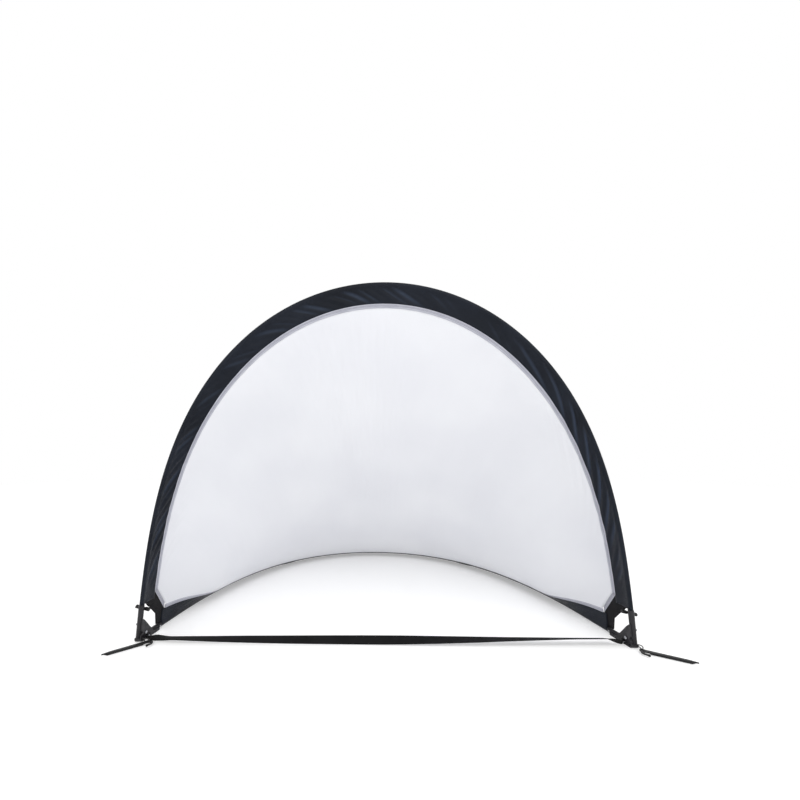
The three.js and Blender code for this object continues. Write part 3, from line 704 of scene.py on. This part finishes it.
def strap_line(steps=420):
    """The webbing's middle line from the left tab to the right one, bowed forward left of the middle."""
    knots = np.array([
        (-STRAP_END_X, STRAP_TAB + 0.018), (-STRAP_END_X, STRAP_TAB + 0.006),
        (0.002 - STRAP_END_X, STRAP_TAB - 0.001), (-0.700, -0.5295), (-0.640, -0.5345), (-0.500, -0.5365),
        (-0.300, -0.5365), (0, -0.5330), (0.150, -0.5290), (0.436, -0.5201), (0.674, -0.5150),
        (0.705, -0.5165), (STRAP_END_X - 0.003, -0.5165), (STRAP_END_X, -0.512),
        (STRAP_END_X, STRAP_TAB + 0.018),
    ])
    marks = np.concatenate([[0], np.cumsum(np.linalg.norm(np.diff(knots, axis=0), axis=1))])
    s = np.linspace(0, marks[-1], steps + 1)
    line = np.stack([np.interp(s, marks, knots[:, i]) for i in range(2)], 1)
    for _ in range(6):
        line[1:-1] = (line[:-2] + line[1:-1] * 2 + line[2:]) / 4
    return s, line


def make_strap():
    s, line = strap_line()
    x = line[:, 0]
    # The webbing twists about its own length: degrees from lying flat, at places along x.
    turn_at = [-STRAP_END_X, -0.705, -0.64, -0.40, -0.088, 0.128, 0.368, 0.56, 0.68, 0.705, STRAP_END_X]
    turn_to = [90, 100, 130, 103, 75, 35, 0, -18, -22, -60, -90]
    turn = np.radians(np.interp(x, turn_at, turn_to))
    for _ in range(12):
        turn[1:-1] = (turn[:-2] + turn[1:-1] * 2 + turn[2:]) / 4
    near_end = smoothstep(STRAP_END_X - 0.05, STRAP_END_X - 0.005, abs(x))
    width = STRAP_WIDTH + (STRAP_END_WIDTH - STRAP_WIDTH) * near_end
    lie = np.interp(x, [-0.63, -0.4, 0, 0.15, 0.29, 0.436, 0.555, 0.674],
                    [0.0118, 0.0128, 0.0137, 0.0137, 0.0142, 0.0154, 0.0168, 0.0172])
    height = lie + (TAB_HEIGHT - lie) * near_end
    along = np.gradient(line, axis=0)
    along /= np.linalg.norm(along, axis=1, keepdims=True)
    side = np.stack([-along[:, 1], along[:, 0], np.zeros(len(x))], 1)
    up = np.array([0, 0, 1.0])
    across = side * np.cos(turn)[:, None] + up * np.sin(turn)[:, None]
    face = np.cross(np.concatenate([along, np.zeros((len(x), 1))], 1), across)
    section = [(0.5, 0.4), (0.485, 1.0), (0.42, 1.0), (0.40, 0.75), (0.2, 0.8), (0, 0.8)]
    section += [(-a, b) for a, b in reversed(section[:-1])]
    section += [(a, -b) for a, b in reversed(section)]
    centre = np.concatenate([line, height[:, None]], 1)
    columns = [centre + across * (width * a)[:, None] + face * (STRAP_HALF * b) for a, b in section]
    points = np.stack(columns, 1).reshape(-1, 3)
    points[:, 2] = np.maximum(points[:, 2], 0.0004)
    count = len(section)
    faces = strip_faces(len(x), count)
    faces += [tuple(range(count)), tuple((len(x) - 1) * count + i for i in reversed(range(count)))]
    v = np.array([0.5 + a for a, _ in section])
    uvs = np.stack(np.broadcast_arrays(s[:, None], v[None, :]), -1).reshape(-1, 2)
    piece = make_piece("front_strap_webbing", points, faces, uvs)
    face_outward(piece)
    dress(piece, "strap")
    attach(piece, "rear_frame")
    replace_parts(piece, "front_strap")
    return piece


# ---- CAD nodes that keep their shape ----
def soften(node, look, width, segments=2):
    """A better finish and softly rounded edges on a CAD node."""
    piece = frame["nodes"][node]
    dress(piece, look)
    piece.data.polygons.foreach_set("use_smooth", [True] * len(piece.data.polygons))
    if "custom_normal" in piece.data.attributes:
        piece.data.attributes.remove(piece.data.attributes["custom_normal"])
    weld = piece.modifiers.new("weld", "WELD")
    weld.merge_threshold = 0.00001
    flat = piece.modifiers.new("flat", "DECIMATE")
    flat.decimate_type = "DISSOLVE"
    flat.angle_limit = math.radians(1)
    bevel = piece.modifiers.new("bevel", "BEVEL")
    bevel.width = width
    bevel.segments = segments
    bevel.limit_method = "ANGLE"
    bevel.angle_limit = math.radians(35)
    bevel.harden_normals = True
    return piece


# ---- The pegs' elastic cords ----
CORD_DIAMETER = 0.0026
# Each route leaves the tie hole, goes through the peg's eye and comes back: x, y behind the hinge, z.
CORD_ROUTES = {
    "right": [(0.7476, -0.0145, 0.0094), (0.7503, -0.0165, 0.0099), (0.752, -0.023, 0.0112),
              (0.7505, -0.032, 0.0124), (0.746, -0.0395, 0.0116), (0.743, -0.043, 0.0069),
              (0.746, -0.0395, 0.0026), (0.7505, -0.032, 0.0025), (0.752, -0.023, 0.0036),
              (0.7503, -0.0165, 0.0052), (0.7476, -0.0145, 0.0058)],
    "left": [(-0.7272, -0.0145, 0.0094), (-0.724, -0.0157, 0.0099), (-0.718, -0.0186, 0.0112),
             (-0.7105, -0.0216, 0.0124), (-0.703, -0.0238, 0.0116), (-0.699, -0.0245, 0.0069),
             (-0.703, -0.0238, 0.0026), (-0.7105, -0.0216, 0.0025), (-0.718, -0.0186, 0.0036),
             (-0.724, -0.0157, 0.0052), (-0.7272, -0.0145, 0.0058)],
}


def make_peg_cord(name):
    points = [Vector((x, HINGE.y + y, z)) for x, y, z in CORD_ROUTES[name]]
    curve = bpy.data.curves.new(f"{name}_elastic_cord", "CURVE")
    curve.dimensions = "3D"
    curve.bevel_depth = CORD_DIAMETER / 2
    curve.bevel_resolution = 4
    curve.use_fill_caps = True
    spline = curve.splines.new("BEZIER")
    spline.bezier_points.add(len(points) - 1)
    for knot, point in zip(spline.bezier_points, points):
        knot.co = point
        knot.handle_left_type = knot.handle_right_type = "AUTO"
    piece = bpy.data.objects.new(f"{name}_elastic_cord", curve)
    bpy.context.scene.collection.objects.link(piece)
    dress(piece, "elastic")
    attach(piece, f"{name}_peg_loop")
    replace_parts(piece, f"{name}_peg_cord")
    return piece


# ---- Floor, light and camera ----
def make_floor():
    """A pale floor, lifted a little from within as a lit studio floor is."""
    size = 9.0
    corners = [(-size, -size, 0), (size, -size, 0), (size, size, 0), (-size, size, 0)]
    floor = make_piece("floor", corners, [(0, 1, 2, 3)], smooth=False)
    glow = {"emission_color": (1, 1, 1, 1), "emission_strength": 0.3}
    finish = Finish("floor_paint", 0.9, specular_ior_level=0.0, **glow)
    drift = finish.range(finish.noise(1.5), 0.3, 0.7)
    finish.set("Base Color", finish.mix(drift, srgb(228, 228, 228), srgb(231, 231, 231)))
    floor.data.materials.append(finish.material)


def make_light(name, place, target, size, power):
    light = bpy.data.lights.new(name, "AREA")
    light.shape = "RECTANGLE"
    light.size = size
    light.size_y = size
    light.energy = power
    lamp = bpy.data.objects.new(name, light)
    lamp.location = place
    lamp.rotation_euler = (Vector(target) - Vector(place)).to_track_quat("-Z", "Y").to_euler()
    bpy.context.scene.collection.objects.link(lamp)


def make_world(strength):
    world = bpy.data.worlds.new("studio")
    world.use_nodes = True
    background = world.node_tree.nodes["Background"]
    background.inputs["Color"].default_value = (1, 1, 1, 1)
    background.inputs["Strength"].default_value = strength
    bpy.context.scene.world = world


def make_camera():
    camera = bpy.data.cameras.new("camera")
    camera.sensor_width = 36
    camera.lens = 15.72
    camera.shift_x = 0.0508
    camera.shift_y = 0.079
    viewer = bpy.data.objects.new("camera", camera)
    viewer.location = (-0.0424, -1.5797, 0.5401)
    viewer.rotation_euler = (math.radians(90.11), 0, math.radians(1.40))
    bpy.context.scene.collection.objects.link(viewer)
    bpy.context.scene.camera = viewer


# ---- The whole goal ----
make_camera()
for side_name in ("left", "right"):
    make_peg_cord(side_name)

make_sleeve("front", front, FRONT_END)
make_sleeve("rear", rear, REAR_END)
make_binding("front", front, front.distance_at(CHAMFER_TOP[1] + 0.001))
make_binding("rear", rear, rear.distance_at(CHAMFER_BACK[0] + 0.001))
net, net_area = make_net()
# An early figure, which the mesh does not bear out: 1.89 m on its middle line, 1.43 m across.
for side_name, side_sign in (("left", -1), ("right", 1)):
    make_gusset(side_name, side_sign)
    make_corner_binding(side_name, side_sign)
make_strap()

for side_name in ("left", "right"):
    soften(f"{side_name}_rear_bracket", "bracket", 0.0006)
    soften(f"{side_name}_front_socket", "bracket", 0.0006)
    soften(f"{side_name}_toggle", "toggle", 0.0005)
    soften(f"{side_name}_ground_peg", "peg", 0.0006)
    for rivet in ("hinge_rivet", "front_screw", "rear_screw", "strap_rivet"):
        soften(f"{side_name}_{rivet}", "steel", 0.0004)
for row in ("front", "rear"):
    for part in ("left", "middle", "right"):
        soften(f"{row}_pole_{part}", "pole", 0.0003)
    for part in ("left", "right"):
        soften(f"{row}_ferrule_{part}", "ferrule", 0.0003)

make_floor()
make_world(1.0)
make_light("front_box", (0.9, -4.2, 1.5), (-0.1, 0, 0.35), 3.0, 34)
make_light("top_box", (0.9, -1.4, 2.6), (0.2, -0.5, 0.5), 0.9, 9)
make_light("edge", (-1.6, -0.9, 2.0), (0, -0.5, 0.6), 0.6, 5)
bpy.context.scene.view_settings.view_transform = "Standard"
